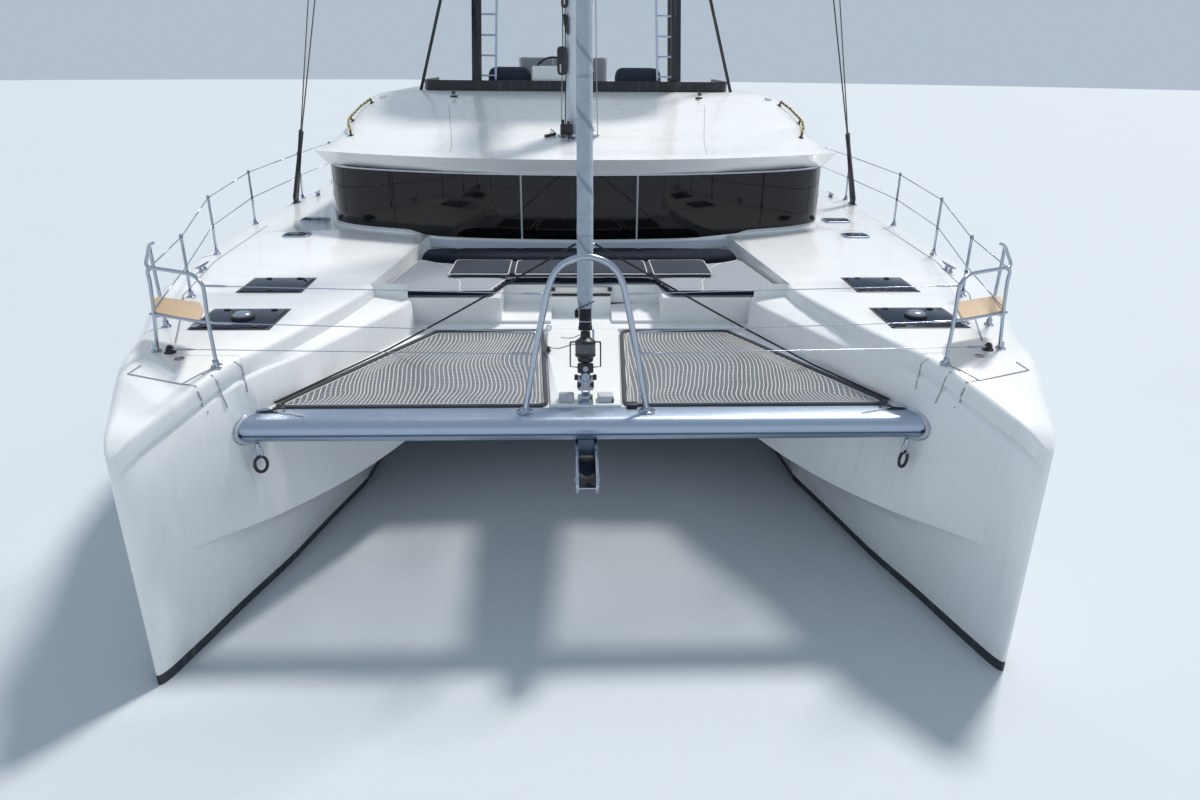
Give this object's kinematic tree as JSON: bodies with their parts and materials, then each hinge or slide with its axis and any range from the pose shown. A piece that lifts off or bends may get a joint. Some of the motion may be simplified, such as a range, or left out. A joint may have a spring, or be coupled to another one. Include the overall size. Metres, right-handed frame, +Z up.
{
  "type": "sailing catamaran",
  "caption": "Cruising sailing catamaran afloat with flybridge, bow nets, furled headsail, stowed mainsail, turning rudders, propellers, boom, hatches and door.",
  "frame": {"origin": "on the waterline, on the centreline, halfway between bows and sterns", "axes": "+Z up, -Y towards the bows, +X to port"},
  "size_m": [7.9534, 14, 23.8503],
  "materials": {
    "gelcoat": "white gelcoat, polished",
    "antifouling": "matt dark antifouling paint",
    "tinted_glass": "dark tinted glazing",
    "black_trim": "satin black",
    "stainless": "polished stainless steel",
    "aluminium": "anodised, bluish grey",
    "spar_paint": "pale grey spar paint",
    "netting": "woven grey net",
    "cushion_light": "light grey deck cushion",
    "cushion_dark": "dark navy deck cushion",
    "canvas": "dark canvas",
    "sailcloth": "grey-blue rolled sailcloth",
    "teak": "pale teak, oiled",
    "grey_plastic": "moulded grey",
    "bronze": "cast bronze"
  },
  "bodies": {
    "root": {"hull_port": "gelcoat", "hull_starboard": "gelcoat", "bridgedeck": "gelcoat", "longeron": "gelcoat", "crossbeam": "aluminium", "trampoline_port": "netting", "trampoline_starboard": "netting", "bow_roller": "stainless", "saloon_house": "gelcoat", "windscreen_middle": "tinted_glass", "windscreen_port": "tinted_glass", "windscreen_starboard": "tinted_glass", "side_window_port": "tinted_glass", "side_window_starboard": "tinted_glass", "aft_bulkhead": "gelcoat", "aft_window": "tinted_glass", "coachroof": "gelcoat", "flybridge_screen": "black_trim", "flybridge_seat_starboard": "canvas", "flybridge_seat_port": "canvas", "helm_console": "grey_plastic", "helm_seat": "cushion_light", "hardtop": "gelcoat", "hardtop_frame_port": "black_trim", "hardtop_frame_starboard": "black_trim", "flybridge_stairs": "gelcoat", "mast": "spar_paint", "forestay_foot": "stainless", "shrouds_port": "black_trim", "shrouds_starboard": "black_trim", "keel_port": "antifouling", "keel_starboard": "antifouling", "saildrive_port": "grey_plastic", "saildrive_starboard": "grey_plastic", "sunpad_front": "cushion_light", "sunpad_middle": "cushion_dark", "sunpad_back": "cushion_dark", "rail_port": "stainless", "rail_starboard": "stainless", "bow_seat_port": "teak", "bow_seat_starboard": "teak", "bow_hoop": "stainless", "cockpit_table": "teak", "cockpit_bench": "cushion_light", "saloon_lounge": "cushion_light", "galley": "grey_plastic"},
    "rudder_port": {"rudder_port": "antifouling"},
    "rudder_starboard": {"rudder_starboard": "antifouling"},
    "steering_wheel": {"steering_wheel": "black_trim"},
    "propeller_port": {"propeller_port": "bronze"},
    "propeller_starboard": {"propeller_starboard": "bronze"},
    "boom": {"boom": "spar_paint", "sail_bag": "canvas"},
    "headsail": {"furler_drum": "black_trim", "headsail": "sailcloth"},
    "saloon_door": {"saloon_door": "tinted_glass"},
    "hatch_1_port": {"hatch_1_port": "tinted_glass"},
    "hatch_1_starboard": {"hatch_1_starboard": "tinted_glass"},
    "hatch_2_port": {"hatch_2_port": "tinted_glass"},
    "hatch_2_starboard": {"hatch_2_starboard": "tinted_glass"}
  },
  "joints": [
    {"name": "rudder_turn_starboard", "type": "hinge", "parent": "root", "child": "rudder_starboard", "pos_m": [-2.85, 5.9, -0.5], "axis": [0, 0, 1], "range_deg": [-35, 35]},
    {"name": "rudder_turn_port", "type": "hinge", "parent": "root", "child": "rudder_port", "pos_m": [2.85, 5.9, -0.5], "axis": [0, 0, 1], "range_deg": [-35, 35]},
    {"name": "wheel_turn", "type": "hinge", "parent": "root", "child": "steering_wheel", "pos_m": [-0.34, 1.7, 3.7], "axis": [0, 1, 0], "range_deg": [-450, 450]},
    {"name": "propeller_spin_port", "type": "hinge", "parent": "root", "child": "propeller_port", "pos_m": [2.85, 4.1, -0.87], "axis": [0, 1, 0], "continuous": true},
    {"name": "propeller_spin_starboard", "type": "hinge", "parent": "root", "child": "propeller_starboard", "pos_m": [-2.85, 4.1, -0.87], "axis": [0, 1, 0], "continuous": true},
    {"name": "boom_swing", "type": "hinge", "parent": "root", "child": "boom", "pos_m": [0, -0.7, 5.9], "axis": [0, 0, 1], "range_deg": [-65, 65]},
    {"name": "headsail_roll", "type": "hinge", "parent": "root", "child": "headsail", "pos_m": [0, -5.85, 1.7], "axis": [0, 0.2602, 0.9656], "continuous": true},
    {"name": "saloon_door_slide", "type": "slide", "parent": "root", "child": "saloon_door", "axis": [1, 0, 0], "range_m": [0, 1.05]},
    {"name": "hatch_1_open_port", "type": "hinge", "parent": "root", "child": "hatch_1_port", "pos_m": [2.72, -5.44, 2.04645], "axis": [1, 0, 0], "range_deg": [0, 80]},
    {"name": "hatch_1_open_starboard", "type": "hinge", "parent": "root", "child": "hatch_1_starboard", "pos_m": [-2.72, -5.44, 2.04645], "axis": [1, 0, 0], "range_deg": [0, 80]},
    {"name": "hatch_2_open_port", "type": "hinge", "parent": "root", "child": "hatch_2_port", "pos_m": [2.76, -4.37, 2.05559], "axis": [1, 0, 0], "range_deg": [0, 80]},
    {"name": "hatch_2_open_starboard", "type": "hinge", "parent": "root", "child": "hatch_2_starboard", "pos_m": [-2.76, -4.37, 2.05559], "axis": [1, 0, 0], "range_deg": [0, 80]}
  ],
  "couplings": [
    {"joint": "rudder_turn_port", "follows": "rudder_turn_starboard", "ratio": 1},
    {"joint": "wheel_turn", "follows": "rudder_turn_starboard", "ratio": -12.857}
  ]
}
